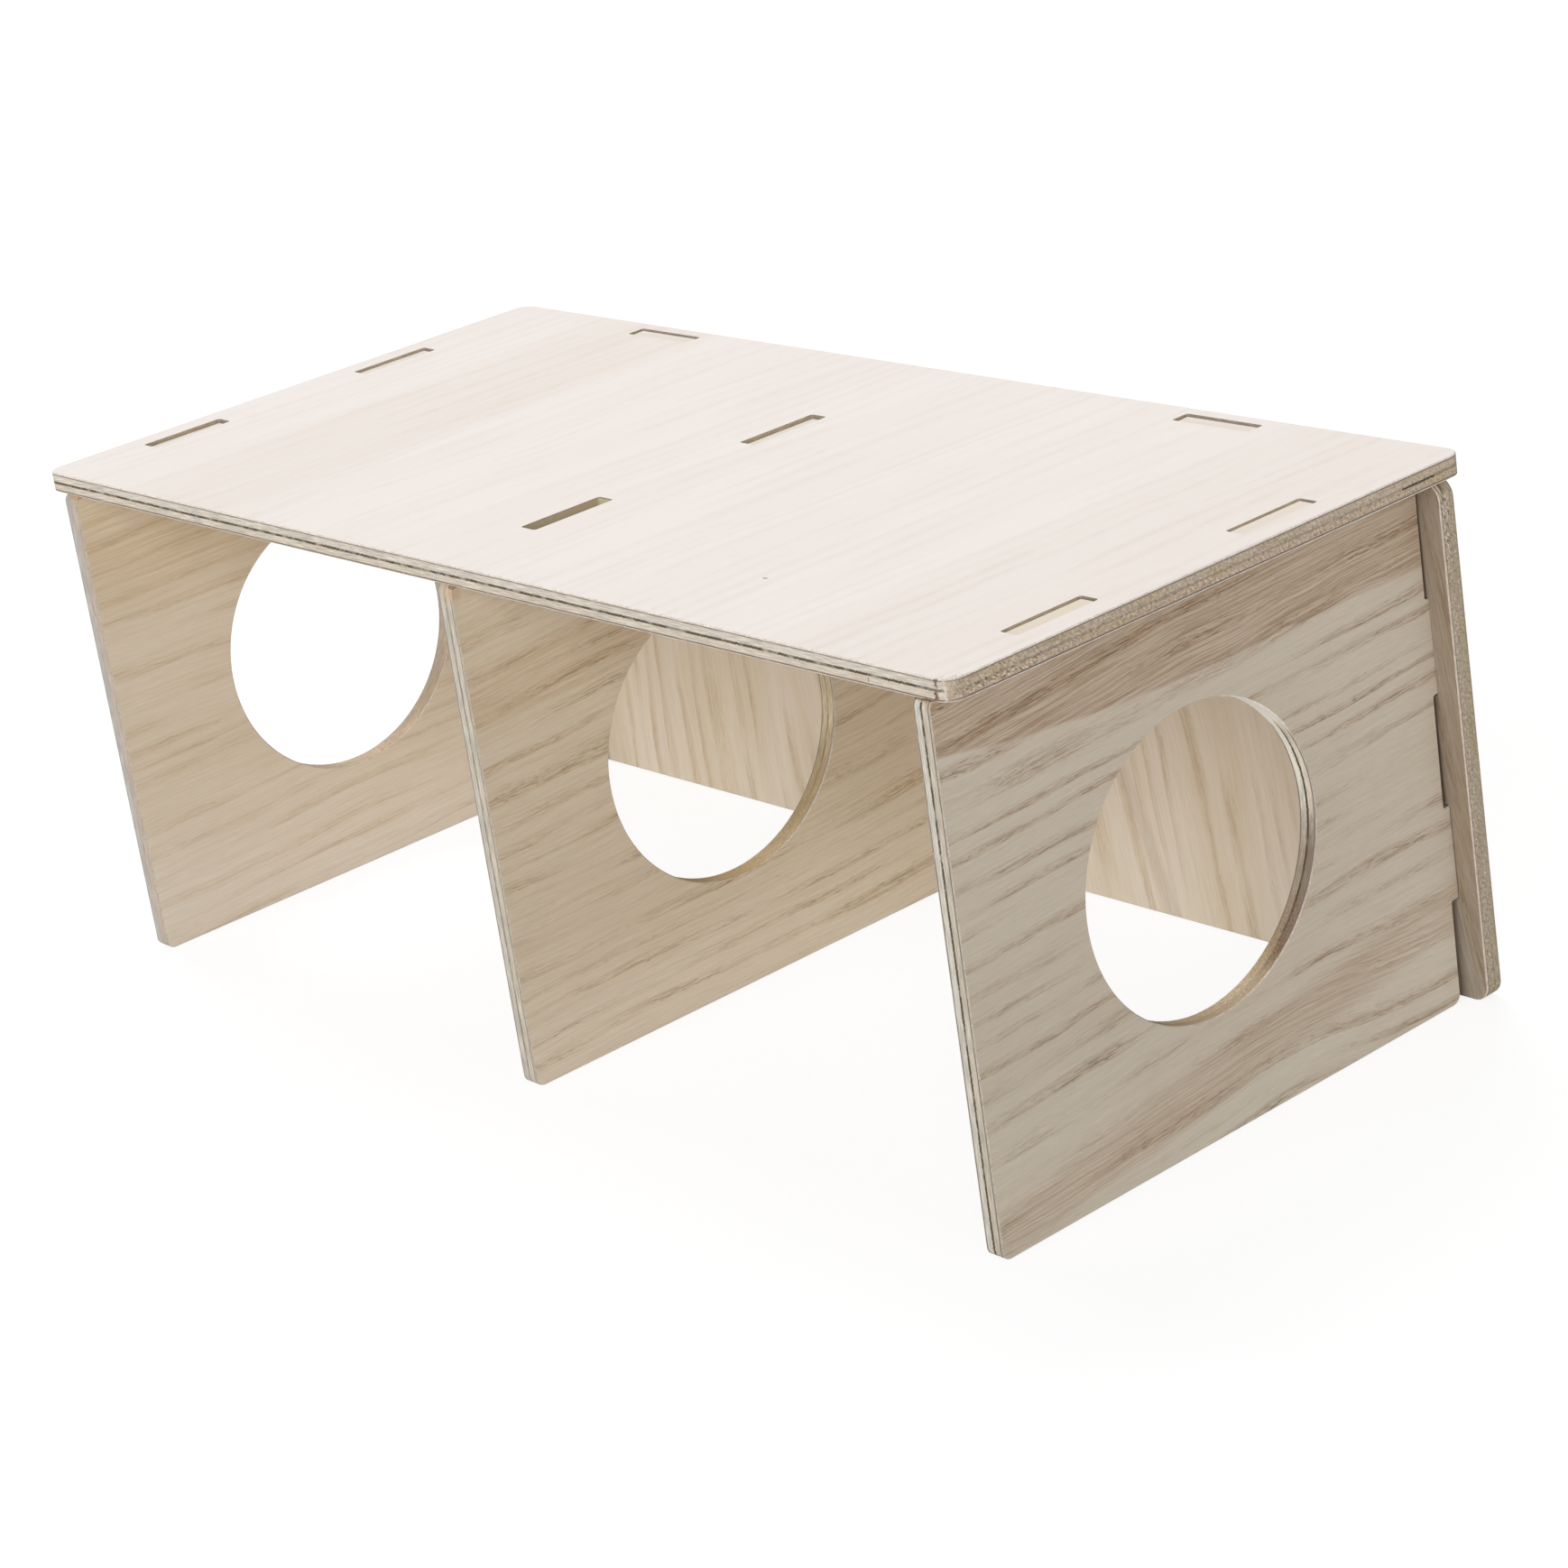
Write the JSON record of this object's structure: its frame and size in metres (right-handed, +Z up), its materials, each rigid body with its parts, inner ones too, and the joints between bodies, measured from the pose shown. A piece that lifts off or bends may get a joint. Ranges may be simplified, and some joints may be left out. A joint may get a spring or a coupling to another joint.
{
  "type": "hamster house",
  "caption": "Flat-pack plywood hideout for a hamster, with side-by-side rooms open at the front, round doorways in the cross panels and a flat roof that lifts off its tabs.",
  "frame": {"origin": "on the floor, under the middle of the roof board", "axes": "+X along the house, to the right as seen from the open front; +Y from the open front to the back board; +Z up"},
  "size_m": [0.35, 0.1666, 0.138],
  "materials": {
    "roof_plywood": "unfinished ash-veneered plywood, fine sanded",
    "back_plywood": "unfinished ash-veneered plywood, fine sanded",
    "panel_plywood": "unfinished ash-veneered plywood, fine sanded"
  },
  "bodies": {
    "walls": {"left_panel": "panel_plywood", "middle_panel": "panel_plywood", "right_panel": "panel_plywood", "back_board": "back_plywood"},
    "roof": {"roof_board": "roof_plywood"}
  },
  "joints": [
    {"name": "roof_lift", "type": "slide", "parent": "walls", "child": "roof", "axis": [0, 0, 1], "range_m": [0, 0.06]}
  ]
}
